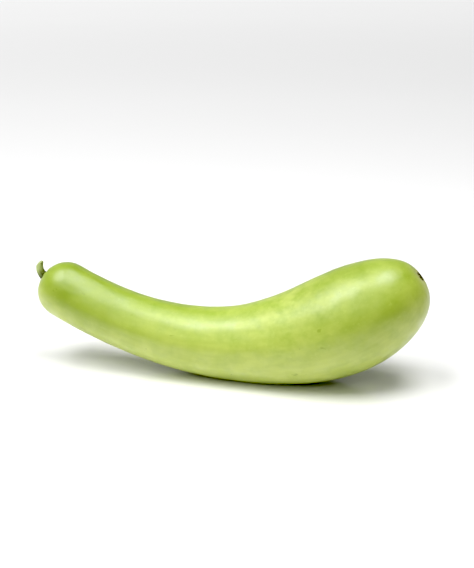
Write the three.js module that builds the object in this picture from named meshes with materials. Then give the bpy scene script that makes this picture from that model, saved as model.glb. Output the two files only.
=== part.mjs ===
// A bottle gourd as picked, lying on its side: the smooth bent fruit with its narrow neck and full
// blossom end, the ribbed stub of the stem that it was cut with, and the dry scar its flower left.
//
// Millimetres, +Z up. +X runs from the stem end to the blossom end, and +Y across. The belly rests
// on a small flat spot at z = 0, under the fruit's weight, and both ends rise clear of it.
import * as THREE from "three";

// Centre line of the fruit, from the stem end to the blossom end. Each control point is how far it
// lies along the fruit, up in the plane of the bend, and sideways out of that plane.
const CENTRE_LINE = [
  [0, 0, 0],
  [205, -110, 5],
  [317, 3, 5],
  [343.5, 24.5, -1],
];
const LEAN_DEG = 22; // how far the plane of the bend leans back from upright

// Radius at even steps along the centre line, as if the two ends weren't rounded off.
const GIRTH = [26, 27, 33, 46, 47.5];
const NECK_ROUNDING = { length: 26, fullness: 2.2 };
const BLOSSOM_ROUNDING = { length: 96, fullness: 2.4 };

// Shallow hollows that the stem and the scar sit in, and the faint folds of skin round the stem.
const STEM_HOLLOW = { depth: 1.5, spread: 6 };
const SCAR_HOLLOW = { depth: 1.2, spread: 6.5 };
const FOLDS = { count: 10, height: 0.3, radius: 9.5, spread: 4 };

// The flat spot: how much of the round belly it takes away, and how softly its edge fades.
const REST = { depth: 2.4, softness: 0.6 };

// Stem: its bend (how far out from the fruit, and up), its girth, its ribs and the slanting cut.
const STEM_BEND = [
  [0, 0],
  [8, 0],
  [11.6, 7.4],
];
const STEM = { radius: 4.1, cutRadius: 3, footRadius: 5.2, footLength: 1.3 };
const STEM_RIBS = { count: 5, depth: 0.07, footDepth: 0.1, footFade: 3.6 };
const STEM_CUT = { slopeIn: 0.7, slopeAcross: 0.3, bulge: 2 };
const STEM_SEAT = 1; // the foot's underside, below the fruit's unhollowed end

// Scar: a corky button, domed, with a pit where the flower broke away.
const SCAR = { radius: 4.4, edge: 0.5, dome: 0.5, pitRadius: 1.3, pitDepth: 0.4 };
const SCAR_SEAT = 0.7; // its underside, below the fruit's unhollowed end

const FRUIT_MESH = { rings: 64, sides: 60 };
const STEM_MESH = { rings: 14, sides: 40, crowding: 1.5, cutRing: 0.6 };
const SCAR_MESH = { rings: 8, sides: 28 };
const LENGTH_STEPS = 800; // how finely the length of the centre line is measured

const skin = new THREE.MeshStandardMaterial({ color: 0xb4d268, roughness: 0.38, metalness: 0 });
const stemBark = new THREE.MeshStandardMaterial({ color: 0x8a9a50, roughness: 0.75, metalness: 0 });
const cork = new THREE.MeshStandardMaterial({ color: 0x3d3a22, roughness: 0.9, metalness: 0 });

// The bend's plane leans about X, so its own upright and sideways directions turn with it.
const lean = THREE.MathUtils.degToRad(LEAN_DEG);
const upright = new THREE.Vector3(0, Math.sin(lean), Math.cos(lean));
const sideways = new THREE.Vector3(0, Math.cos(lean), -Math.sin(lean));

const centreLine = new THREE.CubicBezierCurve3(
  ...CENTRE_LINE.map(([along, up, side]) =>
    new THREE.Vector3(along, 0, 0).addScaledVector(upright, up).addScaledVector(sideways, side),
  ),
);
centreLine.arcLengthDivisions = LENGTH_STEPS;
const fruitLength = centreLine.getLength();

/** The point and the three directions of a curve at a distance along it, straight on past its ends. */
function frameAt(curve, distance) {
  const length = curve.getLength();
  const inside = THREE.MathUtils.clamp(distance, 0, length);
  const ahead = curve.getTangentAt(inside / length);
  const point = curve.getPointAt(inside / length).addScaledVector(ahead, distance - inside);
  const across = sideways.clone().addScaledVector(ahead, -sideways.dot(ahead)).normalize();
  const up = new THREE.Vector3().crossVectors(ahead, across);
  return { point, ahead, across, up };
}

/** Bends a lathed shape, which stands along its own Y, so that it follows a curve. */
function bendAlong(geometry, curve) {
  const place = geometry.getAttribute("position");
  for (let i = 0; i < place.count; i += 1) {
    const { point, across, up } = frameAt(curve, place.getY(i));
    point.addScaledVector(up, place.getX(i)).addScaledVector(across, place.getZ(i));
    place.setXYZ(i, point.x, point.y, point.z);
  }
  geometry.computeVertexNormals();
  return geometry;
}

/** Calls change(point, angle) on every vertex of a lathed shape; point has its radius and height. */
function reshape(geometry, change) {
  const place = geometry.getAttribute("position");
  for (let i = 0; i < place.count; i += 1) {
    const angle = Math.atan2(place.getX(i), place.getZ(i));
    const point = { radius: Math.hypot(place.getX(i), place.getZ(i)), height: place.getY(i) };
    change(point, angle);
    place.setXYZ(i, point.radius * Math.sin(angle), point.height, point.radius * Math.cos(angle));
  }
}

/** Share of the full radius left where an end rounds off: 0 at the tip, 1 past the rounding. */
function rounding(fromTip, { length, fullness }) {
  const short = 1 - Math.min(fromTip / length, 1);
  return (1 - short ** fullness) ** (1 / fullness);
}

const hollow = (radius, { depth, spread }) => depth * Math.exp(-((radius / spread) ** 2));

/** The fruit's outline, tip to tip: a lathe profile of radius against distance along the centre line. */
function fruitProfile() {
  const girth = new THREE.SplineCurve(GIRTH.map((radius, i) => new THREE.Vector2(i, radius)));
  const points = [];
  for (let ring = 0; ring <= FRUIT_MESH.rings; ring += 1) {
    const share = (1 - Math.cos((Math.PI * ring) / FRUIT_MESH.rings)) / 2;
    const along = share * fruitLength;
    const neck = rounding(along, NECK_ROUNDING);
    const blossom = rounding(fruitLength - along, BLOSSOM_ROUNDING);
    const radius = girth.getPoint(share).y * neck * blossom;
    const dip = share < 0.5 ? hollow(radius, STEM_HOLLOW) : -hollow(radius, SCAR_HOLLOW);
    points.push(new THREE.Vector2(radius, along + dip));
  }
  return points;
}

/** Heights above the ground, with the belly pressed flat where it would reach below it. */
function pressed(height) {
  const { softness } = REST;
  if (height >= softness) return height;
  if (height <= -softness) return 0;
  return (height + softness) ** 2 / (4 * softness);
}

/** Rests a shape on the ground: lowers it by the ground's height, and flattens what would sink in. */
function restOn(ground, geometry) {
  const place = geometry.getAttribute("position");
  for (let i = 0; i < place.count; i += 1) {
    place.setZ(i, pressed(place.getZ(i) - ground));
  }
  geometry.computeVertexNormals();
}

/** The fruit, lathed tip to tip, folded a little round the stem, and bent along its centre line. */
function makeFruit() {
  const geometry = new THREE.LatheGeometry(fruitProfile(), FRUIT_MESH.sides);
  reshape(geometry, (point, angle) => {
    if (point.height > fruitLength / 2) return;
    const near = Math.exp(-(((point.radius - FOLDS.radius) / FOLDS.spread) ** 2));
    point.height += FOLDS.height * near * Math.cos(FOLDS.count * angle);
  });
  return bendAlong(geometry, centreLine);
}

/** The stem's line: it leaves the neck along the fruit's own axis and hooks upward. */
function stemLine() {
  const { point, ahead, up } = frameAt(centreLine, STEM_SEAT);
  return new THREE.QuadraticBezierCurve3(
    ...STEM_BEND.map(([out, rise]) =>
      point.clone().addScaledVector(ahead, -out).addScaledVector(up, rise),
    ),
  );
}

/** The stem, lathed with a flared foot and then drawn out into ribs, with its end cut on a slant. */
function makeStem() {
  const line = stemLine();
  const length = line.getLength();
  const points = [new THREE.Vector2(0, 0)];
  for (let ring = 0; ring <= STEM_MESH.rings; ring += 1) {
    const along = length * (ring / STEM_MESH.rings) ** STEM_MESH.crowding;
    const shaft = THREE.MathUtils.lerp(STEM.radius, STEM.cutRadius, along / length);
    const flare = (STEM.footRadius - STEM.radius) * Math.exp(-along / STEM.footLength);
    points.push(new THREE.Vector2(shaft + flare, along));
  }
  for (const share of [STEM_MESH.cutRing, 0]) {
    const height = length + STEM_CUT.bulge * (1 - share ** 2);
    points.push(new THREE.Vector2(STEM.cutRadius * share, height));
  }
  const geometry = new THREE.LatheGeometry(points, STEM_MESH.sides);
  reshape(geometry, (point, angle) => {
    const claw = STEM_RIBS.footDepth * Math.exp(-point.height / STEM_RIBS.footFade);
    point.radius *= 1 + (STEM_RIBS.depth + claw) * Math.cos(STEM_RIBS.count * angle);
    const slope = STEM_CUT.slopeIn * Math.sin(angle) - STEM_CUT.slopeAcross * Math.cos(angle);
    point.height -= slope * point.radius * (point.height / length) ** 2;
  });
  return bendAlong(geometry, line);
}

/** The blossom scar: a low domed button with a pit in its middle, facing out along the fruit's axis. */
function makeScar() {
  const { point, ahead } = frameAt(centreLine, fruitLength - SCAR_SEAT);
  const line = new THREE.LineCurve3(point, point.clone().add(ahead));
  const points = [new THREE.Vector2(0, 0)];
  for (let ring = 0; ring <= SCAR_MESH.rings; ring += 1) {
    const radius = SCAR.radius * (1 - ring / SCAR_MESH.rings);
    const dome = SCAR.dome * (1 - (radius / SCAR.radius) ** 2);
    const pit = SCAR.pitDepth * Math.exp(-((radius / SCAR.pitRadius) ** 2));
    if (ring === 0) points.push(new THREE.Vector2(radius, 0));
    points.push(new THREE.Vector2(radius, SCAR.edge + dome - pit));
  }
  return bendAlong(new THREE.LatheGeometry(points, SCAR_MESH.sides), line);
}

/** Adds a named piece to the gourd. */
function addPiece(name, geometry, material) {
  const piece = new THREE.Mesh(geometry, material);
  piece.name = name;
  gourd.add(piece);
}

const gourd = new THREE.Group();
addPiece("fruit", makeFruit(), skin);
addPiece("stem", makeStem(), stemBark);
addPiece("blossom_scar", makeScar(), cork);

const lowest = new THREE.Box3().setFromObject(gourd, true).min.z;
for (const piece of gourd.children) {
  restOn(lowest + REST.depth, piece.geometry);
}

// The origin is on the ground, under the middle of the whole gourd.
const middle = new THREE.Box3().setFromObject(gourd, true).getCenter(new THREE.Vector3());
for (const piece of gourd.children) {
  piece.position.set(-middle.x, -middle.y, 0);
}

export default gourd;
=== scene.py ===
"""A bottle gourd as picked, lying on its belly: the pale green, softly mottled fruit, the ribbed stub of
its stem at the narrow end and the dry corky scar that its flower left at the full end.

Metres, +Z up. +X runs from the stem end to the blossom end. Each piece is lathed finely and bent along the
same centre line as the solid that it stands for, then given the small forms and the finish of the real one.
"""

import logging
import math
from dataclasses import dataclass, field
from enum import Enum

import bpy
import numpy as np
from mathutils import Matrix, Vector, noise


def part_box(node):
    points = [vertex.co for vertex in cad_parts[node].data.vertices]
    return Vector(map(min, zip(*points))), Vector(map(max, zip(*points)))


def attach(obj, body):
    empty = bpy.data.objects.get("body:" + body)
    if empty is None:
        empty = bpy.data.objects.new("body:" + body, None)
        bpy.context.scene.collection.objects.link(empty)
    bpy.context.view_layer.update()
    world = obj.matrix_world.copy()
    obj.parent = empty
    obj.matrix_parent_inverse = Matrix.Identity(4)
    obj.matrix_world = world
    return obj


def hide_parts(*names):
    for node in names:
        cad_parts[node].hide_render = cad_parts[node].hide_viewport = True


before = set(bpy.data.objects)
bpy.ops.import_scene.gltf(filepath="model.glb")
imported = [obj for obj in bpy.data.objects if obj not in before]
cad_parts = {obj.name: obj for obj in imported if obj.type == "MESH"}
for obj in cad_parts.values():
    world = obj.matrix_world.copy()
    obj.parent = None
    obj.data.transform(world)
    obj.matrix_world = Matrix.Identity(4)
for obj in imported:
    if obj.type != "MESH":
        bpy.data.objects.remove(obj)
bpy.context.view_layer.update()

LOG = logging.getLogger("bottle_gourd")
MM = 0.001
FULL_TURN = 2 * math.pi
BODY = "root"
ROUGHEST = 1.0  # how fast the noise's finer layers fade
FINER = 2.0  # how much finer each of them is than the last
NOISE_MIDDLE = 0.5  # the middle of a noise texture's values
TINY = 1e-9  # gives a direction to a point on the axis

Colour = tuple[float, float, float]
Socket = bpy.types.NodeSocket
Value = Socket | float | tuple


class Slot(Enum):
    """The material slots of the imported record."""

    SKIN = "skin"
    STEM_BARK = "stem_bark"
    CORK = "cork"


# ---- Lines, lathes and relief ----


def bernstein(degree: int, shares: np.ndarray) -> np.ndarray:
    """Weights of a Bezier curve's control points.

    Args:
        degree: The curve's degree.
        shares: How far along the curve each point is, from 0 to 1.

    Returns:
        One row for each share, with one weight for each control point.
    """
    powers = [math.comb(degree, i) * shares**i * (1 - shares) ** (degree - i) for i in range(degree + 1)]
    return np.stack(powers, axis=-1)


def unit(vectors: np.ndarray) -> np.ndarray:
    """The same directions at length 1."""
    return vectors / np.linalg.norm(vectors, axis=-1, keepdims=True)


class Line:
    """A Bezier curve measured along its length, with a square frame at every point."""

    STEPS = 2000

    def __init__(self, controls: np.ndarray, sideways: np.ndarray) -> None:
        """Measures the curve.

        Args:
            controls: The control points, one row each.
            sideways: The direction that the frames' across stays closest to.
        """
        self.controls = controls
        self.sideways = sideways
        self.degree = len(controls) - 1
        self.shares = np.linspace(0, 1, self.STEPS + 1)
        points = bernstein(self.degree, self.shares) @ controls
        steps = np.linalg.norm(np.diff(points, axis=0), axis=1)
        self.travel = np.concatenate(([0.0], np.cumsum(steps)))
        self.length = float(self.travel[-1])

    def frames(self, distance: np.ndarray) -> tuple[np.ndarray, np.ndarray, np.ndarray, np.ndarray]:
        """Frames at distances along the curve, straight on past its ends.

        Args:
            distance: Distances from the curve's start.

        Returns:
            The points, and the directions ahead, across and up at each.
        """
        inside = np.clip(distance, 0, self.length)
        share = np.interp(inside, self.travel, self.shares)
        ahead = unit(bernstein(self.degree - 1, share) @ np.diff(self.controls, axis=0))
        point = bernstein(self.degree, share) @ self.controls + ahead * (distance - inside)[..., None]
        across = unit(self.sideways - ahead * (ahead @ self.sideways)[..., None])
        return point, ahead, across, np.cross(ahead, across)

    def bend(self, lathe: "Lathe") -> np.ndarray:
        """Places a lathed grid along the curve.

        Args:
            lathe: The grid, still straight.

        Returns:
            Its points, ring by ring.
        """
        point, _, across, up = self.frames(lathe.height)
        outward_up = (lathe.radius * np.sin(lathe.angle))[..., None]
        outward_across = (lathe.radius * np.cos(lathe.angle))[..., None]
        return point + up * outward_up + across * outward_across


@dataclass
class Lathe:
    """A lathed grid: rings of points, each with its radius, height and angle round the axis."""

    radius: np.ndarray
    height: np.ndarray
    angle: np.ndarray

    @classmethod
    def turn(cls, radii: np.ndarray, heights: np.ndarray, sides: int) -> "Lathe":
        """Turns a profile round its axis.

        Args:
            radii: The profile's radii, with 0 at both ends.
            heights: The profile's heights.
            sides: Points round each ring.

        Returns:
            The lathed grid.
        """
        angle = np.arange(sides) * FULL_TURN / sides
        shape = (len(radii), sides)
        grids = (np.broadcast_to(row, shape).copy() for row in (radii[:, None], heights[:, None], angle))
        return cls(*grids)

    def grain(self, girth: float | None = None) -> np.ndarray:
        """Places on the straight form, for what follows the fibres.

        Args:
            girth: The radius of a cylinder to read them on, in place of the form itself.

        Returns:
            One place for each point.
        """
        radius = self.radius if girth is None else girth
        around = (np.cos(self.angle) * radius, np.sin(self.angle) * radius, self.height)
        return np.stack(around, axis=-1)

    def seen_along(self) -> np.ndarray:
        """Places seen along the axis, for what is on an end."""
        return self.grain() * np.array((1, 1, 0))


def closed_mesh(name: str, points: np.ndarray, attributes: dict[str, np.ndarray]) -> bpy.types.Object:
    """Makes a closed smooth mesh from rings of points whose first and last rings are single points.

    Args:
        name: The object's name.
        points: The points, ring by ring.
        attributes: Values or vectors for each point, kept on the mesh under their names.

    Returns:
        The new object, linked to the scene.
    """
    rings, sides = points.shape[:2]

    def once(grid: np.ndarray) -> np.ndarray:
        """Keeps one point of the first ring and one of the last."""
        middle = grid[1:-1].reshape((-1,) + grid.shape[2:])
        return np.concatenate((grid[:1, 0], middle, grid[-1:, 0]))

    def at(ring: int, side: int) -> int:
        """Index of a point, once the end rings are single points.

        Args:
            ring: The point's ring.
            side: Its place round the ring, which may run on past the last.

        Returns:
            Its index in the mesh.
        """
        if ring == 0:
            return 0
        return 1 + (min(ring, rings - 1) - 1) * sides + (side % sides if ring < rings - 1 else 0)

    faces = []
    for ring in range(rings - 1):
        for side in range(sides):
            corners = (at(ring, side), at(ring, side + 1), at(ring + 1, side + 1), at(ring + 1, side))
            faces.append(tuple(dict.fromkeys(corners)))
    mesh = bpy.data.meshes.new(name)
    mesh.from_pydata(once(points).tolist(), [], faces)
    mesh.shade_smooth()
    for label, grid in attributes.items():
        values = once(grid)
        kind, key = ("FLOAT_VECTOR", "vector") if values.ndim > 1 else ("FLOAT", "value")
        mesh.attributes.new(label, kind, "POINT").data.foreach_set(key, values.ravel())
    made = bpy.data.objects.new(name, mesh)
    bpy.context.collection.objects.link(made)
    return made


def ripple(points: np.ndarray, wavelength: float, octaves: int = 1) -> np.ndarray:
    """Smooth noise from about -1 to 1 at each point.

    Args:
        points: Where to read the noise.
        wavelength: The size of its widest lumps.
        octaves: How many times the noise is laid over itself at half the size.

    Returns:
        One value for each point.
    """
    flat = points.reshape(-1, 3) / wavelength
    values = [noise.fractal(Vector(place), ROUGHEST, FINER, octaves) for place in flat]
    return np.array(values).reshape(points.shape[:-1])


def near(value: np.ndarray, centre: float, spread: float) -> np.ndarray:
    """A bell that is 1 where the value meets the centre and fades either side of it."""
    return np.exp(-(((value - centre) / spread) ** 2))


@dataclass(frozen=True)
class Waves:
    """Smooth noise of one height and size, which can be laid over a lathed form.

    It is read on a cylinder of its own girth there. The smaller its pace along the grain, the more it is
    drawn out that way.
    """

    height: float
    size: float
    octaves: int = 1
    girth: float = 0.0
    pace: float = 1.0

    def at(self, points: np.ndarray) -> np.ndarray:
        """Its height at points."""
        return self.height * ripple(points, self.size, self.octaves)

    def over(self, lathe: Lathe) -> np.ndarray:
        """Its height at the points of a lathed form."""
        return self.at(lathe.grain(self.girth) * np.array((1, 1, self.pace)))


@dataclass(frozen=True)
class Hollow:
    """A shallow round hollow."""

    depth: float
    spread: float

    def dip(self, radius: np.ndarray) -> np.ndarray:
        """Its depth at distances from its middle."""
        return self.depth * near(radius, 0.0, self.spread)


@dataclass(frozen=True)
class Rounding:
    """How an end of the fruit rounds off, over a length from its tip."""

    length: float
    fullness: float

    def share(self, from_tip: np.ndarray) -> np.ndarray:
        """Share of the full radius left at distances from the tip: 0 at the tip, 1 past the rounding."""
        short = 1 - np.clip(from_tip / self.length, 0, 1)
        return (1 - short**self.fullness) ** (1 / self.fullness)


@dataclass(frozen=True)
class Growth:
    """The bent line that the fruit grew along, in a plane that leans back from upright.

    Each control point is how far it lies along the fruit, up in that plane, and sideways out of it, in
    millimetres.
    """

    controls: tuple = ((0, 0, 0), (205, -110, 5), (317, 3, 5), (343.5, 24.5, -1))
    lean: float = math.radians(22)

    def line(self) -> Line:
        """Draws the centre line, from the stem's tip, before the fruit is set on the ground.

        Returns:
            The line.
        """
        upright = np.array((0, math.sin(self.lean), math.cos(self.lean)))
        sideways = np.array((0, math.cos(self.lean), -math.sin(self.lean)))
        along, up, side = MM * np.array(self.controls, dtype=float).T[:, :, None]
        return Line(along * np.array((1, 0, 0)) + up * upright + side * sideways, sideways)


# ---- Shader trees and the effects that the finishes share ----


class Tree:
    """Adds nodes to a shader tree and wires them."""

    UNDER, OVER, MIXED = 6, 7, 2  # the Mix node's two colours, and its mixed one

    def __init__(self, tree: bpy.types.NodeTree) -> None:
        """Keeps the tree that nodes go into."""
        self.tree = tree

    def wire(self, value: Value, socket: Socket) -> None:
        """Links a socket's value, or sets a plain one.

        Args:
            value: A socket, number, vector or colour.
            socket: The input that it goes into.
        """
        if isinstance(value, Socket):
            self.tree.links.new(value, socket)
        elif socket.type == "RGBA":
            socket.default_value = (*value, 1.0)
        else:
            socket.default_value = value

    def node(self, kind: str, inputs: dict | None = None, **settings: object) -> bpy.types.Node:
        """Adds a node.

        Args:
            kind: The node's type, without its ShaderNode prefix.
            inputs: Values or sockets for its inputs, by name or number.
            settings: Its own settings.

        Returns:
            The new node.
        """
        made = self.tree.nodes.new("ShaderNode" + kind)
        for key, value in settings.items():
            setattr(made, key, value)
        for key, value in (inputs or {}).items():
            self.wire(value, made.inputs[key])
        return made

    def maths(self, operation: str, first: Value, second: Value = 0.0) -> Socket:
        """The result of one Math node."""
        return self.node("Math", {0: first, 1: second}, operation=operation).outputs[0]

    def times(self, first: Value, second: Value) -> Socket:
        """Two values multiplied."""
        return self.maths("MULTIPLY", first, second)

    def vectors(self, operation: str, first: Value, second: Value) -> bpy.types.Node:
        """A Vector Math node of two vectors."""
        return self.node("VectorMath", {0: first, 1: second}, operation=operation)

    def spread(self, value: Value, low: Value, high: Value, start: Value = 0.0, end: Value = 1.0) -> Socket:
        """Maps a value smoothly from the range low to high onto start to end, and keeps it there."""
        ends = {"Value": value, "From Min": low, "From Max": high, "To Min": start, "To Max": end}
        return self.node("MapRange", ends, interpolation_type="SMOOTHSTEP").outputs[0]

    def cloud(self, place: Value, scale: Value, detail: Value) -> bpy.types.Node:
        """A noise texture."""
        return self.node("TexNoise", {"Vector": place, "Scale": scale, "Detail": detail})

    def sharpened(self, cloud: bpy.types.Node, edge: Value) -> Socket:
        """A noise drawn apart about its middle.

        Args:
            cloud: The noise texture.
            edge: How far to each side of its middle it still changes.

        Returns:
            A mask from 0 to 1.
        """
        low = self.maths("SUBTRACT", NOISE_MIDDLE, edge)
        high = self.maths("ADD", NOISE_MIDDLE, edge)
        return self.spread(cloud.outputs[0], low, high)

    def layered(self, colour: Value, layers: tuple) -> Value:
        """Lays colours over a first one.

        Args:
            colour: The first colour.
            layers: The colours above it, each after the share that it covers.

        Returns:
            The mixed colour.
        """
        for share, over in layers:
            mix = self.node("Mix", {0: share, self.UNDER: colour, self.OVER: over}, data_type="RGBA")
            colour = mix.outputs[self.MIXED]
        return colour

    def attribute(self, name: str) -> Socket:
        """Reads the value that the mesh keeps under a name."""
        return self.node("Attribute", attribute_name=name).outputs["Fac"]

    def grain(self) -> Socket:
        """Places on the form before it was bent, for what follows its fibres."""
        return self.node("Attribute", attribute_name="grain").outputs["Vector"]

    def place(self) -> Socket:
        """Places in the object's own frame."""
        return self.node("TexCoord").outputs["Object"]


@dataclass(frozen=True)
class Ramp:
    """A smooth change from start to end, while what it follows goes from low to high."""

    start: float
    end: float
    low: float = 0.0
    high: float = 1.0

    def over(self, tree: Tree, value: Value) -> Socket:
        """The changing value."""
        return tree.spread(value, self.low, self.high, self.start, self.end)


@dataclass(frozen=True)
class Effect:
    """A shader node group: named inputs, named outputs, and the nodes between them."""

    name: str
    inputs: tuple
    outputs: tuple = (("Mask", "Float"),)

    def fill(self, tree: Tree, given: dict) -> dict:
        """Builds the group's nodes from its inputs, and returns its outputs by name."""
        raise NotImplementedError

    def group(self) -> bpy.types.NodeTree:
        """Makes the effect's node group the first time that it is asked for.

        Returns:
            The group.
        """
        made = bpy.data.node_groups.get(self.name)
        if made:
            return made
        made = bpy.data.node_groups.new(self.name, "ShaderNodeTree")
        for in_out, sockets in (("INPUT", self.inputs), ("OUTPUT", self.outputs)):
            for label, kind in sockets:
                made.interface.new_socket(label, in_out=in_out, socket_type="NodeSocket" + kind)
        tree = Tree(made)
        start = made.nodes.new("NodeGroupInput")
        end = made.nodes.new("NodeGroupOutput")
        for label, value in self.fill(tree, start.outputs).items():
            tree.wire(value, end.inputs[label])
        return made

    def use(self, tree: Tree, **values: Value) -> bpy.types.bpy_prop_collection:
        """Places the effect in a material.

        Args:
            tree: The material's tree.
            values: The effect's inputs, by name.

        Returns:
            The placed node's outputs.
        """
        placed = tree.tree.nodes.new("ShaderNodeGroup")
        placed.node_tree = self.group()
        for label, value in values.items():
            tree.wire(value, placed.inputs[label])
        return placed.outputs


@dataclass(frozen=True)
class Mottle(Effect):
    """Soft cloudy patches."""

    name: str = "mottle"
    inputs: tuple = (("Place", "Vector"), ("Scale", "Float"), ("Detail", "Float"), ("Edge", "Float"))

    def fill(self, tree: Tree, given: dict) -> dict:
        """Noise, sharpened about its middle by Edge."""
        cloud = tree.cloud(given["Place"], given["Scale"], given["Detail"])
        return {"Mask": tree.sharpened(cloud, given["Edge"])}


@dataclass(frozen=True)
class Fibres(Effect):
    """Fine streaks that run along the grain."""

    name: str = "fibres"
    inputs: tuple = (("Grain", "Vector"), ("Scale", "Float"), ("Stretch", "Float"), ("Edge", "Float"))
    detail: float = 3.0

    def fill(self, tree: Tree, given: dict) -> dict:
        """Noise squeezed along the grain, so that it draws out into streaks.

        Args:
            tree: The group's tree.
            given: Its inputs, by name.

        Returns:
            Its outputs, by name.
        """
        squeeze = tree.node("CombineXYZ", {0: 1.0, 1: 1.0, 2: tree.maths("DIVIDE", 1.0, given["Stretch"])})
        place = tree.vectors("MULTIPLY", given["Grain"], squeeze.outputs[0]).outputs[0]
        lines = tree.cloud(place, given["Scale"], self.detail)
        return {"Mask": tree.sharpened(lines, given["Edge"])}


@dataclass(frozen=True)
class Flecks(Effect):
    """Scattered spots with wavering edges: some of a grid of cells hold one, each of its own size.

    The wavering goes with the cells' scale, and a spot's own size and its full core with Size.
    """

    name: str = "flecks"
    inputs: tuple = (("Place", "Vector"), ("Scale", "Float"), ("Size", "Float"), ("Share", "Float"))
    waver_scale: float = 2.5
    waver_detail: float = 2.0
    waver_reach: float = 0.9
    own_size: Ramp = Ramp(0.5, 1.3)
    core: float = 0.4

    def fill(self, tree: Tree, given: dict) -> dict:
        """A spot at each cell's own point, kept where the cell's own chance is under Share.

        Args:
            tree: The group's tree.
            given: Its inputs, by name.

        Returns:
            Its outputs, by name.
        """
        finer = tree.times(given["Scale"], self.waver_scale)
        waver = tree.cloud(given["Place"], finer, self.waver_detail).outputs["Color"]
        centred = tree.vectors("SUBTRACT", waver, (NOISE_MIDDLE,) * 3).outputs[0]
        reach = tree.maths("DIVIDE", self.waver_reach, given["Scale"])
        shift = tree.node("VectorMath", {0: centred, "Scale": reach}, operation="SCALE").outputs[0]
        place = tree.vectors("ADD", given["Place"], shift).outputs[0]
        cells = tree.node("TexVoronoi", {"Vector": place, "Scale": given["Scale"]})
        chance = tree.node("SeparateColor", {0: cells.outputs["Color"]})
        size = tree.times(given["Size"], self.own_size.over(tree, chance.outputs[1]))
        dot = tree.spread(cells.outputs["Distance"], tree.times(size, self.core), size, 1.0, 0.0)
        kept = tree.maths("LESS_THAN", chance.outputs[0], given["Share"])
        return {"Mask": tree.times(dot, kept)}


@dataclass(frozen=True)
class Layer:
    """One effect laid over a finish: the effect's own values, and how strongly it shows."""

    strength: float = field(default=1.0, kw_only=True)

    def mask(self, tree: Tree, place: Value) -> Socket:
        """Where it lies, from 0 to 1."""
        raise NotImplementedError

    def share(self, tree: Tree, place: Value) -> Socket:
        """How much it covers of what is under it."""
        return tree.times(self.mask(tree, place), self.strength)


@dataclass(frozen=True)
class Patches(Layer):
    """Cloudy patches."""

    scale: float
    detail: float
    edge: float

    def mask(self, tree: Tree, place: Value) -> Socket:
        """Where the patches lie."""
        return Mottle().use(tree, Place=place, Scale=self.scale, Detail=self.detail, Edge=self.edge)["Mask"]


@dataclass(frozen=True)
class Streaks(Layer):
    """Streaks along the grain."""

    scale: float
    stretch: float
    edge: float

    def mask(self, tree: Tree, place: Value) -> Socket:
        """Where the streaks lie, with the grain as their place."""
        values = {"Grain": place, "Scale": self.scale, "Stretch": self.stretch, "Edge": self.edge}
        return Fibres().use(tree, **values)["Mask"]


@dataclass(frozen=True)
class Spots(Layer):
    """Scattered spots, in a share of their cells."""

    scale: float
    size: float
    chance: float

    def mask(self, tree: Tree, place: Value) -> Socket:
        """Where the spots lie."""
        return Flecks().use(tree, Place=place, Scale=self.scale, Size=self.size, Share=self.chance)["Mask"]


@dataclass(frozen=True)
class Relief:
    """Relief too fine for the mesh: how strongly it shades, and its depth."""

    strength: float
    depth: float

    def over(self, tree: Tree, height: Value) -> Socket:
        """The surface's normal with the relief on it."""
        bump = tree.node("Bump", {"Height": height, "Strength": self.strength, "Distance": self.depth})
        return bump.outputs[0]


# ---- Finishes ----


@dataclass(frozen=True)
class Finish:
    """A material: the Principled shader's constant values, with colour, roughness and relief from nodes."""

    name: str
    specular: float = 0.5
    coat_roughness: float = 0.3

    def paint(self, tree: Tree) -> dict[str, Value]:
        """The shader's other inputs, by name."""
        raise NotImplementedError

    def material(self) -> bpy.types.Material:
        """Makes the finished material.

        Returns:
            The material.
        """
        made = bpy.data.materials.new(self.name)
        made.use_nodes = True
        shader = made.node_tree.nodes["Principled BSDF"]
        shader.inputs["Specular IOR Level"].default_value = self.specular
        shader.inputs["Coat Roughness"].default_value = self.coat_roughness
        tree = Tree(made.node_tree)
        for label, value in self.paint(tree).items():
            tree.wire(value, shader.inputs[label])
        return made


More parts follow.
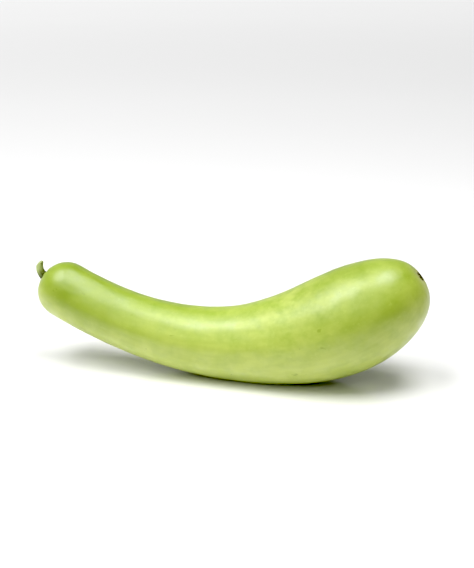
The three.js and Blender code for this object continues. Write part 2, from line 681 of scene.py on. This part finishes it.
@dataclass(frozen=True)
class SkinFinish(Finish):
    """Waxy young skin: pale green with cloudy lighter and darker patches, faint streaks and flecks.

    It is palest on the belly, partly a real paler ground side and partly painted bounce light from the
    floor. It is deeper green near both ends, partly real tone and partly painted shade on their upper side,
    and on the upper side of its full end it is dulled by pale wax, partly painted sheen from the light
    above.
    """

    name: str = "waxy_green_skin"
    green: Colour = (0.262, 0.378, 0.026)
    deep: Colour = (0.175, 0.26, 0.008)
    pale: Colour = (0.56, 0.64, 0.16)
    # Pale wax on the upper side of the full end, partly painted sheen from the light above.
    bloom_and_sheen: Colour = (0.38, 0.43, 0.12)
    straw: Colour = (0.47, 0.48, 0.19)
    tan: Colour = (0.20, 0.19, 0.05)
    pore: Colour = (0.07, 0.10, 0.01)
    specular: float = 0.42
    coat_roughness: float = 0.36
    wide: Patches = Patches(22.0, 2.0, 0.22, strength=0.3)
    shady: Patches = Patches(58.0, 3.0, 0.13, strength=0.32)
    cloudy: Patches = Patches(85.0, 3.0, 0.2)
    small: Patches = Patches(190.0, 2.0, 0.16)
    bands: Streaks = Streaks(75.0, 5.0, 0.2, strength=0.09)
    streaks: Streaks = Streaks(260.0, 9.0, 0.2, strength=0.1)
    drawn: tuple = (1.0, 1.0, 0.6)
    nicks: Spots = Spots(62.0, 0.1, 0.5, strength=0.45)
    blots: Spots = Spots(170.0, 0.26, 0.4, strength=0.13)
    dots: Spots = Spots(430.0, 0.3, 0.5, strength=0.1)
    # Paler towards the underside: partly the real paler ground side, partly painted bounce light from the
    # floor.
    belly: Ramp = Ramp(0.0, 0.95, -0.9, 1.0)
    # Deeper green near the ends, partly real tone and partly painted shade: strongest on their upper side,
    # most along the neck.
    ripe_and_shade_above: Ramp = Ramp(0.7, 0.1, 0.25, 1.0)
    ripe_and_shade_in_wide: Ramp = Ramp(0.5, 1.0)
    # Pale wax with painted sheen: kept to the upper side, stronger in the pale clouds, which there show more
    # contrast.
    bloom_and_sheen_above: Ramp = Ramp(0.6, 0.0, -0.9, 0.2)
    bloom_and_sheen_in_cloudy: Ramp = Ramp(0.4, 1.1)
    cloudy_in_bloom_and_sheen: Ramp = Ramp(0.28, 0.4)
    small_in_bloom_and_sheen: Ramp = Ramp(0.12, 0.26)
    foot: Ramp = Ramp(0.55, 0.0, 4 * MM, 15 * MM)
    halo: Ramp = Ramp(0.35, 0.0, 6 * MM, 20 * MM)
    ring: Ramp = Ramp(0.7, 0.0, 5.5 * MM, 9 * MM)
    speckled: Ramp = Ramp(0.6, 0.0, 7 * MM, 16 * MM)
    specks: Spots = Spots(420.0, 0.3, 0.35)
    pores: Spots = Spots(85.0, 0.06, 0.6, strength=0.5)
    wax: Patches = Patches(85.0, 3.0, 0.19)
    roughness: Ramp = Ramp(0.38, 0.47)
    coat: Ramp = Ramp(0.8, 0.5)
    lump_scale: float = 150.0
    pit_scale: float = 700.0
    pit_share: float = 0.25
    relief_detail: float = 2.0
    relief: Relief = Relief(0.35, 0.12 * MM)

    def colour(self, tree: Tree) -> Value:
        """Mixes the colour of the whole skin, from the wide patches down to the small flecks.

        Args:
            tree: The material's tree.

        Returns:
            The colour.
        """
        place, grain = tree.place(), tree.grain()
        drawn = tree.vectors("MULTIPLY", grain, self.drawn).outputs[0]
        underside, bloom_and_sheen_zone = tree.attribute("underside"), tree.attribute("bloom_and_sheen")
        wide, cloudy, small = (patches.mask(tree, place) for patches in (self.wide, self.cloudy, self.small))
        bloom_and_sheen = tree.times(self.bloom_and_sheen_above.over(tree, underside), self.bloom_and_sheen_in_cloudy.over(tree, cloudy))
        ripe_and_shade = tree.times(tree.attribute("ripe_and_shade"), self.ripe_and_shade_in_wide.over(tree, wide))
        layers = (
            (tree.times(wide, self.wide.strength), self.deep),
            # painted sheen and real wax: paler on the upper side of the full end
            (tree.times(bloom_and_sheen_zone, bloom_and_sheen), self.bloom_and_sheen),
            # painted bounce light and real paler ground side: paler towards the underside
            (self.belly.over(tree, underside), self.pale),
            (self.shady.share(tree, place), self.green),
            (tree.times(cloudy, self.cloudy_in_bloom_and_sheen.over(tree, bloom_and_sheen_zone)), self.pale),
            (tree.times(small, self.small_in_bloom_and_sheen.over(tree, bloom_and_sheen_zone)), self.pale),
            # painted shade and real deeper tone: deeper green near the ends, strongest on their upper side
            (tree.times(ripe_and_shade, self.ripe_and_shade_above.over(tree, underside)), self.deep),
            (self.bands.share(tree, grain), self.deep),
            (self.streaks.share(tree, grain), self.deep),
            (self.nicks.share(tree, drawn), self.deep),
            (self.blots.share(tree, drawn), self.pale),
            (self.dots.share(tree, drawn), self.pale),
        )
        return tree.layered(self.green, layers)

    def ends(self, tree: Tree, colour: Value) -> Value:
        """Adds pale skin drawn tight at the stem's foot, a straw-coloured ring round the scar, and pores.

        Args:
            tree: The material's tree.
            colour: The colour of the whole skin.

        Returns:
            The finished colour.
        """
        place, from_blossom = tree.place(), tree.attribute("from_blossom")
        specks = tree.times(self.specks.mask(tree, place), self.speckled.over(tree, from_blossom))
        layers = (
            (self.foot.over(tree, tree.attribute("from_stem")), self.pale),
            (self.halo.over(tree, from_blossom), self.straw),
            (self.ring.over(tree, from_blossom), self.straw),
            (specks, self.tan),
            (self.pores.share(tree, place), self.pore),
        )
        return tree.layered(colour, layers)

    def paint(self, tree: Tree) -> dict[str, Value]:
        """The skin's colour, its uneven wax and its fine pits.

        Args:
            tree: The material's tree.

        Returns:
            The shader's inputs, by name.
        """
        place = tree.place()
        wax = self.wax.mask(tree, place)
        pits = tree.cloud(place, self.pit_scale, self.relief_detail).outputs[0]
        lumps = tree.cloud(place, self.lump_scale, self.relief_detail).outputs[0]
        height = tree.maths("ADD", tree.times(pits, self.pit_share), lumps)
        return {
            "Base Color": self.ends(tree, self.colour(tree)),
            "Roughness": self.roughness.over(tree, wax),
            "Coat Weight": self.coat.over(tree, wax),
            "Normal": self.relief.over(tree, height),
        }


@dataclass(frozen=True)
class StemFinish(Finish):
    """Drying stem bark: olive green, pale on its ribs, dark in its grooves and at its foot."""

    name: str = "drying_stem_bark"
    specular: float = 0.35
    olive: Colour = (0.17, 0.22, 0.035)
    pale: Colour = (0.45, 0.53, 0.23)
    dark: Colour = (0.03, 0.042, 0.004)
    cut: Colour = (0.36, 0.41, 0.19)
    brown: Colour = (0.15, 0.13, 0.04)
    streaks: Streaks = Streaks(1500.0, 7.0, 0.22, strength=0.25)
    patches: Patches = Patches(420.0, 3.0, 0.2, strength=0.3)
    ribbed: Ramp = Ramp(0.35, 1.0, -0.9, 0.5)
    # Paler on the outer side of the hook, partly real drying and partly painted light; the inner side is
    # darkened as painted shade.
    dried_and_lit: Ramp = Ramp(0.0, 0.9, -0.6, 0.5)
    shaded: Ramp = Ramp(0.15, 0.0, -0.9, -0.1)
    foot: Ramp = Ramp(0.97, 0.0, 0.0, 10 * MM)
    tip: Ramp = Ramp(0.0, 0.5, 5 * MM, 12 * MM)
    roughness: Ramp = Ramp(0.62, 0.8)
    relief: Relief = Relief(0.5, 0.1 * MM)

    def paint(self, tree: Tree) -> dict[str, Value]:
        """The bark's colour by rib, foot and cut, and its fibrous relief.

        Args:
            tree: The material's tree.

        Returns:
            The shader's inputs, by name.
        """
        streaks = self.streaks.mask(tree, tree.grain())
        patches = self.patches.mask(tree, tree.place())
        outer, from_foot = tree.attribute("outer"), tree.attribute("from_foot")
        layers = (
            (self.ribbed.over(tree, tree.attribute("rib")), self.olive),
            # painted light and real drying: paler on the outer side of the hook
            (self.dried_and_lit.over(tree, outer), self.pale),
            (tree.times(patches, self.patches.strength), self.olive),
            (tree.times(streaks, self.streaks.strength), self.brown),
            (self.shaded.over(tree, outer), self.dark),
            (self.foot.over(tree, from_foot), self.dark),
            (self.tip.over(tree, from_foot), self.pale),
            (tree.attribute("cut"), self.cut),
        )
        return {
            "Base Color": tree.layered(self.dark, layers),
            "Roughness": self.roughness.over(tree, patches),
            "Normal": self.relief.over(tree, streaks),
        }


@dataclass(frozen=True)
class CorkFinish(Finish):
    """Dry cork: almost black where it cracked, greyish brown on its crumbs."""

    name: str = "dry_cork"
    specular: float = 0.2
    black: Colour = (0.018, 0.018, 0.003)
    brown: Colour = (0.075, 0.072, 0.016)
    grey: Colour = (0.27, 0.27, 0.13)
    crumbs: Patches = Patches(1100.0, 3.0, 0.18)
    threads: Streaks = Streaks(1800.0, 3.0, 0.2)
    dust: Spots = Spots(1600.0, 0.3, 0.3, strength=0.5)
    rim: Ramp = Ramp(0.0, 1.0, 0.6, 1.0)
    roughness: Ramp = Ramp(0.8, 0.95)
    relief: Relief = Relief(0.6, 0.15 * MM)

    def paint(self, tree: Tree) -> dict[str, Value]:
        """The cork's colour by its relief, and its crumbly grain.

        Args:
            tree: The material's tree.

        Returns:
            The shader's inputs, by name.
        """
        place = tree.place()
        crumbs = self.crumbs.mask(tree, place)
        threads = self.threads.mask(tree, tree.grain())
        layers = (
            (crumbs, self.brown),
            (tree.times(self.rim.over(tree, tree.attribute("rim")), threads), self.grey),
            (self.dust.share(tree, place), self.grey),
        )
        return {
            "Base Color": tree.layered(self.black, layers),
            "Roughness": self.roughness.over(tree, crumbs),
            "Normal": self.relief.over(tree, crumbs),
        }


# ---- The gourd ----


@dataclass
class Ground:
    """How the gourd was set down: where it was moved to, and the flat spot pressed under its belly."""

    shift: np.ndarray
    softness: float = 0.6 * MM

    def settle(self, points: np.ndarray) -> np.ndarray:
        """Moves points to their place, and presses flat what would sink into the ground.

        Args:
            points: Points of a piece before it was set down.

        Returns:
            The same points on the ground.
        """
        placed = points + self.shift
        height, soft = placed[..., 2], self.softness
        eased = (np.clip(height, -soft, soft) + soft) ** 2 / (4 * soft)
        placed[..., 2] = np.where(height >= soft, height, eased)
        return placed


@dataclass
class Fruit:
    """The fruit: a lathed outline bent along its centre line, folded round the stem and faintly wavy.

    The girths are radii at even steps along the line, in millimetres. A place of deeper green, partly real
    tone and partly painted shade on its upper side, or a place of pale wax, partly painted sheen, is a share
    of the line's length, with how far it fades to each side. Elsewhere stands for far from an end.
    """

    line: Line
    girth: tuple = (26, 27, 33, 46, 47.5)
    neck: Rounding = Rounding(26 * MM, 2.2)
    blossom: Rounding = Rounding(96 * MM, 2.4)
    stem_hollow: Hollow = Hollow(1.5 * MM, 6 * MM)
    scar_hollow: Hollow = Hollow(1.2 * MM, 6.5 * MM)
    folds: int = 10
    fold_height: float = 0.3 * MM
    fold_radius: float = 9.5 * MM
    fold_spread: float = 4 * MM
    puckers: int = 27
    pucker_height: float = 0.09 * MM
    pucker_radius: float = 7 * MM
    pucker_spread: float = 3.5 * MM
    pucker_wander: Waves = Waves(3.0, 12 * MM, girth=20 * MM)
    ridges: int = 9
    ridge_height: float = 0.22 * MM
    ridge_wander: float = 2.0
    ridge_steady: float = 0.6
    ridge_varied: float = 0.4
    sway: Waves = Waves(1.6, 90 * MM, girth=30 * MM)
    lumps: Waves = Waves(0.22 * MM, 26 * MM, 3, girth=40 * MM)
    dimples: Waves = Waves(0.06 * MM, 10 * MM, 2, girth=40 * MM, pace=0.6)
    body_radius: float = 25 * MM
    # Places of deeper green; the skin darkens their upper side further as painted shade.
    ripe_and_shade_places: tuple = ((0.1, 60 * MM), (0.86, 50 * MM))
    # Where pale wax lies, which the skin paints as sheen on its upper side.
    bloom_and_sheen_place: tuple = (0.76, 75 * MM)
    elsewhere: float = 1.0
    rings: int = 330
    sides: int = 220

    def radii(self, share: np.ndarray) -> np.ndarray:
        """Radii of the plain outline: a spline through the girths, rounded off at both ends.

        Args:
            share: Shares of the outline's length.

        Returns:
            The radius at each.
        """
        steps = len(self.girth) - 1
        padded = MM * np.array((self.girth[0], *self.girth, self.girth[-1]))
        at = np.clip(share * steps, 0, steps)
        first = np.minimum(at.astype(int), steps - 1)
        t = at - first
        before, start, end, after = (padded[first + i] for i in range(4))
        slope_in, slope_out = (end - before) / 2, (after - start) / 2
        cubic = 2 * (start - end) + slope_in + slope_out
        square = -3 * (start - end) - 2 * slope_in - slope_out
        girth = ((cubic * t + square) * t + slope_in) * t + start
        along = share * self.line.length
        return girth * self.neck.share(along) * self.blossom.share(self.line.length - along)

    def plain(self) -> Lathe:
        """Lathes the fruit as its solid has it, before its small forms.

        Returns:
            The lathed grid.
        """
        share = (1 - np.cos(np.pi * np.arange(self.rings + 1) / self.rings)) / 2
        radii = self.radii(share)
        dips = np.where(share < 0.5, self.stem_hollow.dip(radii), -self.scar_hollow.dip(radii))
        return Lathe.turn(radii, share * self.line.length + dips, self.sides)

    def relief(self, lathe: Lathe) -> None:
        """Adds the folds round the stem, the puckers at both ends, and the faint ridges and lumps.

        Args:
            lathe: The plain fruit, which is changed.
        """
        stem_half = lathe.height < self.line.length / 2
        fold = near(lathe.radius, self.fold_radius, self.fold_spread) * np.cos(self.folds * lathe.angle)
        lathe.height += np.where(stem_half, self.fold_height * fold, 0.0)
        wave = np.cos(self.puckers * lathe.angle + self.pucker_wander.over(lathe))
        pucker = near(lathe.radius, self.pucker_radius, self.pucker_spread) * wave
        lathe.height += np.where(stem_half, 1, -1) * self.pucker_height * pucker
        body = np.clip(lathe.radius / self.body_radius, 0, 1) ** 2
        sway = self.sway.over(lathe)
        ridge = np.cos(self.ridges * lathe.angle + self.ridge_wander * sway)
        ridge *= self.ridge_steady + self.ridge_varied * sway
        forms = self.ridge_height * ridge + self.lumps.over(lathe) + self.dimples.over(lathe)
        lathe.radius += body * forms

    def ground(self) -> Ground:
        """Finds where the fruit was set down: its plain form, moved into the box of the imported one.

        Returns:
            The ground that it lies on.
        """
        placed = self.line.bend(self.plain())
        low, high = (np.array(corner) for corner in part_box("fruit"))
        shift = (low + high) / 2 - (placed.min(axis=(0, 1)) + placed.max(axis=(0, 1))) / 2
        shift[2] = high[2] - placed[..., 2].max()
        return Ground(shift)

    def build(self, ground: Ground) -> bpy.types.Object:
        """Makes the fruit's mesh.

        Args:
            ground: Where it was set down.

        Returns:
            The new object.
        """
        lathe = self.plain()
        self.relief(lathe)
        length, along = self.line.length, lathe.height
        stem_half = along < length / 2
        attributes = {
            "ripe_and_shade": sum(near(along, share * length, reach) for share, reach in self.ripe_and_shade_places),
            "bloom_and_sheen": near(along, self.bloom_and_sheen_place[0] * length, self.bloom_and_sheen_place[1]),
            "grain": lathe.grain(),
            "from_stem": np.where(stem_half, lathe.radius, self.elsewhere),
            "from_blossom": np.where(stem_half, self.elsewhere, lathe.radius),
            "underside": -np.sin(lathe.angle),
        }
        return closed_mesh("fruit_skin", ground.settle(self.line.bend(lathe)), attributes)


@dataclass
class Stem:
    """The stub of the stem: ribbed, hooked upward, cut on a slant, with a clawed foot on the fruit.

    The points of its bend are how far out from the fruit they lie, and how far up, in millimetres.
    """

    fruit_line: Line
    bend: tuple = ((0, 0), (8, 0), (11.6, 7.4))
    seat: float = 1 * MM
    radius: float = 4.1 * MM
    cut_radius: float = 3 * MM
    foot_radius: float = 5.2 * MM
    foot_length: float = 1.3 * MM
    claw_reach: float = 1.3 * MM
    claw_length: float = 0.7 * MM
    sunk: float = 0.7 * MM
    ribs: int = 5
    rib_depth: float = 0.07
    foot_rib_depth: float = 0.1
    foot_fade: float = 3.6 * MM
    slope_in: float = 0.7
    slope_across: float = 0.3
    bulge: float = 2 * MM
    bark_edge: float = 5.0
    grain_girth: float = 4 * MM
    wander: Waves = Waves(0.5, 9 * MM, girth=4 * MM)
    threads: Waves = Waves(0.09 * MM, 0.9 * MM, 2, girth=4 * MM, pace=0.15)
    cut_grain: Waves = Waves(0.12 * MM, 1.1 * MM, 2)
    rings: int = 90
    crowding: float = 1.4
    cap_rings: int = 24
    sides: int = 180

    def line(self) -> Line:
        """Draws the stem's line: out along the fruit's own axis, then hooked upward.

        Returns:
            The line.
        """
        point, ahead, _, up = (row[0] for row in self.fruit_line.frames(np.array([self.seat])))
        out, rise = MM * np.array(self.bend, dtype=float).T[:, :, None]
        return Line(point - ahead * out + up * rise, self.fruit_line.sideways)

    def plain(self, length: float) -> tuple[Lathe, np.ndarray]:
        """Lathes the stem straight and round, with its flared foot and its bulging cut end.

        Args:
            length: The length of its line.

        Returns:
            The lathed grid, and how far over the cut end each of its points is, from 0 to 1.
        """
        shaft_share = np.linspace(0, 1, self.rings + 1) ** self.crowding
        shaft_height = shaft_share * (length + self.sunk) - self.sunk
        cap_share = np.linspace(1, 0, self.cap_rings + 1)[1:]
        cap_height = length + self.bulge * (1 - cap_share**2)
        shaft_radius = self.radius + (self.cut_radius - self.radius) * np.clip(shaft_height / length, 0, 1)
        flare = (self.foot_radius - self.radius) * np.exp(-np.maximum(shaft_height, 0) / self.foot_length)
        radii = np.concatenate(([0], shaft_radius + flare, self.cut_radius * cap_share))
        heights = np.concatenate(([-self.sunk], shaft_height, cap_height))
        lathe = Lathe.turn(radii, heights, self.sides)
        cut = np.zeros_like(lathe.height)
        cut[-self.cap_rings :] = 1 - cap_share[:, None] ** self.bark_edge
        return lathe, cut

    def build(self, ground: Ground) -> bpy.types.Object:
        """Makes the stem's mesh, with its foot sunk a little into the skin.

        Args:
            ground: Where the gourd was set down.

        Returns:
            The new object.
        """
        line = self.line()
        lathe, cut = self.plain(line.length)
        grain = lathe.grain(self.grain_girth)
        wave = np.cos(self.ribs * lathe.angle + self.wander.over(lathe))
        threads = self.threads.over(lathe)
        above = np.maximum(lathe.height, 0)
        claw = self.foot_rib_depth * np.exp(-above / self.foot_fade)
        reach = self.claw_reach * np.exp(-above / self.claw_length) * np.clip(wave, 0, 1) ** 2
        outer = lathe.radius > self.cut_radius / 2
        lathe.radius *= 1 + (self.rib_depth + claw) * wave
        lathe.radius += np.where(outer & (cut == 0), reach, 0)
        lathe.radius += np.where(cut == 0, threads, 0) * (lathe.radius > 0)
        lathe.height += np.where(cut > 0, self.cut_grain.at(lathe.seen_along()), 0)
        outward = np.sin(lathe.angle)
        slope = self.slope_in * outward - self.slope_across * np.cos(lathe.angle)
        lathe.height -= slope * lathe.radius * (above / line.length) ** 2
        attributes = {"grain": grain, "rib": wave, "outer": outward, "from_foot": lathe.height, "cut": cut}
        return closed_mesh("stem_stub", ground.settle(line.bend(lathe)), attributes)


@dataclass
class BlossomScar:
    """The blossom scar: a low corky button, cracked from its pit outward, with a crumbled edge."""

    fruit_line: Line
    seat: float = 0.7 * MM
    radius: float = 4.4 * MM
    edge: float = 0.5 * MM
    dome: float = 0.5 * MM
    pit: Hollow = Hollow(0.4 * MM, 1.3 * MM)
    sunk: float = 0.6 * MM
    crumbled: Waves = Waves(0.07, 2.2 * MM, 3)
    grain_girth: float = 4 * MM
    cracks: int = 11
    crack_depth: float = 0.28 * MM
    crack_width: float = 0.22
    crack_drift: Waves = Waves(0.9, 3 * MM, 2)
    cracked_rim: float = 0.5
    crumbs: Waves = Waves(0.22 * MM, 0.9 * MM, 3)
    rings: int = 46
    sides: int = 132

    def build(self, ground: Ground) -> bpy.types.Object:
        """Makes the scar's mesh, facing out along the fruit's axis.

        Args:
            ground: Where the gourd was set down.

        Returns:
            The new object.
        """
        start = self.fruit_line.length - self.seat
        point, ahead, _, _ = (row[0] for row in self.fruit_line.frames(np.array([start])))
        line = Line(np.stack((point, point + ahead)), self.fruit_line.sideways)
        share = np.linspace(1, 0, self.rings + 1)
        top = self.edge + self.dome * (1 - share**2) - self.pit.dip(share * self.radius)
        radii = np.concatenate(([0, self.radius], self.radius * share))
        heights = np.concatenate(([-self.sunk, -self.sunk], top))
        lathe = Lathe.turn(radii, heights, self.sides)
        seen = lathe.seen_along()
        drift = self.crack_drift.at(seen)
        crack = near(np.sin(self.cracks / 2 * lathe.angle + drift), 0.0, self.crack_width)
        outward = np.clip(lathe.radius / self.radius, 0, 1)
        relief = self.crumbs.at(seen) - self.crack_depth * crack * outward
        lathe.height += np.where(lathe.height > 0, relief, 0)
        lathe.radius *= 1 + self.crumbled.at(unit(seen + TINY) * self.grain_girth)
        attributes = {"grain": lathe.grain(self.grain_girth), "rim": outward - self.cracked_rim * crack}
        return closed_mesh("blossom_scar_cork", ground.settle(line.bend(lathe)), attributes)


@dataclass
class Gourd:
    """The whole gourd: fruit, stem and scar, dressed and riding on the part."""

    growth: Growth = Growth()

    def dress(self, piece: bpy.types.Object, node: str, finish: Finish) -> None:
        """Gives a piece its finish, and lets it stand for its node.

        Args:
            piece: The new piece.
            node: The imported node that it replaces.
            finish: Its material.
        """
        piece.data.materials.append(finish.material())
        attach(piece, BODY)
        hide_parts(node)
        LOG.info("%s: %d faces, for node %s", piece.name, len(piece.data.polygons), node)

    def build(self) -> None:
        """Builds the three pieces on one centre line."""
        line = self.growth.line()
        fruit = Fruit(line)
        ground = fruit.ground()
        self.dress(fruit.build(ground), "fruit", SkinFinish())
        self.dress(Stem(line).build(ground), "stem", StemFinish())
        self.dress(BlossomScar(line).build(ground), "blossom_scar", CorkFinish())


# ---- The studio ----


@dataclass(frozen=True)
class FloorFinish(Finish):
    """Smooth white board that shows a faint reflection, lit from below far out so that it stays pale."""

    name: str = "white_board"
    white: Colour = (0.94, 0.94, 0.94)
    specular: float = 0.9
    coat_roughness: float = 0.12
    gloss: float = 0.8
    haze: Patches = Patches(3.0, 2.0, 0.3)
    roughness: Ramp = Ramp(0.1, 0.14)
    glow: Ramp = Ramp(0.0, 0.87, 0.3, 3.6)

    def paint(self, tree: Tree) -> dict[str, Value]:
        """The board's barely uneven polish, and the light from below.

        Args:
            tree: The material's tree.

        Returns:
            The shader's inputs, by name.
        """
        place = tree.place()
        from_middle = tree.node("VectorMath", {0: place}, operation="LENGTH").outputs["Value"]
        return {
            "Base Color": self.white,
            "Roughness": self.roughness.over(tree, self.haze.mask(tree, place)),
            "Coat Weight": self.gloss,
            "Emission Color": self.white,
            "Emission Strength": self.glow.over(tree, from_middle),
        }


@dataclass(frozen=True)
class SoftBox:
    """A soft rectangular light that faces the gourd.

    Its direction is seen from the gourd, its size is along the gourd and across that, its power is in watts.
    """

    name: str
    direction: tuple
    distance: float
    size: tuple
    power: float

    def build(self, target: tuple) -> None:
        """Hangs the light.

        Args:
            target: The point that it faces and is measured from.
        """
        area = bpy.data.lights.new(self.name, "AREA")
        area.shape = "RECTANGLE"
        area.size, area.size_y = self.size
        area.energy = self.power
        made = bpy.data.objects.new(self.name, area)
        toward = Vector(self.direction).normalized()
        along = (Vector((1, 0, 0)) - toward * toward.x).normalized()
        facing = Matrix((along, toward.cross(along), toward)).transposed()
        made.matrix_world = Matrix.LocRotScale(Vector(target) + toward * self.distance, facing, None)
        bpy.context.collection.objects.link(made)


@dataclass
class Studio:
    """The plain studio: white floor, soft lights overhead and in front, pale surroundings, camera."""

    target: tuple = (0.00845, 0.01159, 0.08034)
    azimuth: float = math.radians(12)
    elevation: float = math.radians(20)
    distance: float = 1.1
    sensor: float = 36.0
    frame_height: float = 568.0
    focal_pixels: float = 1222.0
    floor_size: float = 14.0
    soft_boxes: tuple = (
        SoftBox("overhead_left", (-0.38, -0.22, 0.9), 2.6, (1.2, 1.9), 63.0),
        SoftBox("overhead_right", (0.2, 0.0, 0.98), 2.6, (1.1, 1.9), 56.0),
        SoftBox("front_reflector", (-0.1, -0.75, 0.62), 2.5, (3.0, 1.2), 18.0),
    )
    white: Colour = (1.0, 1.0, 1.0)
    bright_side: tuple = (-0.7, 0.5, -0.4)
    ambient: Ramp = Ramp(0.08, 0.5, -0.5, 0.8)
    backdrop: float = 0.9
    black: float = 0.045

    def camera(self) -> None:
        """The camera, looking down a little from the front and the right."""
        lens = bpy.data.cameras.new("camera")
        lens.sensor_width = self.sensor
        lens.lens = self.focal_pixels / self.frame_height * self.sensor
        made = bpy.data.objects.new("camera", lens)
        level = math.cos(self.elevation)
        right, forward = math.sin(self.azimuth) * level, math.cos(self.azimuth) * level
        back = Vector((right, -forward, math.sin(self.elevation)))
        made.location = Vector(self.target) + back * self.distance
        made.rotation_mode = "QUATERNION"
        made.rotation_quaternion = (-back).to_track_quat("-Z", "Y")
        bpy.context.collection.objects.link(made)
        bpy.context.scene.camera = made

    def floor(self) -> None:
        """The floor, which isn't part of the gourd."""
        half = self.floor_size / 2
        mesh = bpy.data.meshes.new("studio_floor")
        corners = [(-half, -half, 0), (half, -half, 0), (half, half, 0), (-half, half, 0)]
        mesh.from_pydata(corners, [], [(0, 1, 2, 3)])
        mesh.materials.append(FloorFinish().material())
        board = bpy.data.objects.new("studio_floor", mesh)
        bpy.context.collection.objects.link(board)

    def surroundings(self) -> None:
        """Dim white light from all round, brightest at the back and the left, before a pale backdrop."""
        world = bpy.data.worlds.new("white_surroundings")
        world.use_nodes = True
        tree = Tree(world.node_tree)
        way = tree.node("TexCoord").outputs["Generated"]
        toward = tree.vectors("DOT_PRODUCT", way, self.bright_side).outputs["Value"]
        strength = self.ambient.over(tree, toward)
        seen = tree.node("LightPath").outputs["Is Camera Ray"]
        shade = world.node_tree.nodes["Background"]
        tree.wire(self.white, shade.inputs["Color"])
        tree.wire(tree.spread(seen, 0.0, 1.0, strength, self.backdrop), shade.inputs["Strength"])
        bpy.context.scene.world = world

    def exposure(self) -> None:
        """How the picture is developed: plain colours, with the deepest shade taken down to black."""
        look = bpy.context.scene.view_settings
        look.view_transform = "Standard"
        look.use_curve_mapping = True
        look.curve_mapping.black_level = (self.black,) * 3
        look.curve_mapping.update()

    def build(self) -> None:
        """Sets up the whole studio."""
        self.camera()
        self.floor()
        for box in self.soft_boxes:
            box.build(self.target)
        self.surroundings()
        self.exposure()
        LOG.info("studio: camera, floor, soft light and white surroundings")


def main() -> None:
    """Builds the studio and the gourd."""
    logging.basicConfig(level=logging.INFO, format="%(name)s: %(message)s")
    Studio().build()
    Gourd().build()


if __name__ == "__main__":
    main()
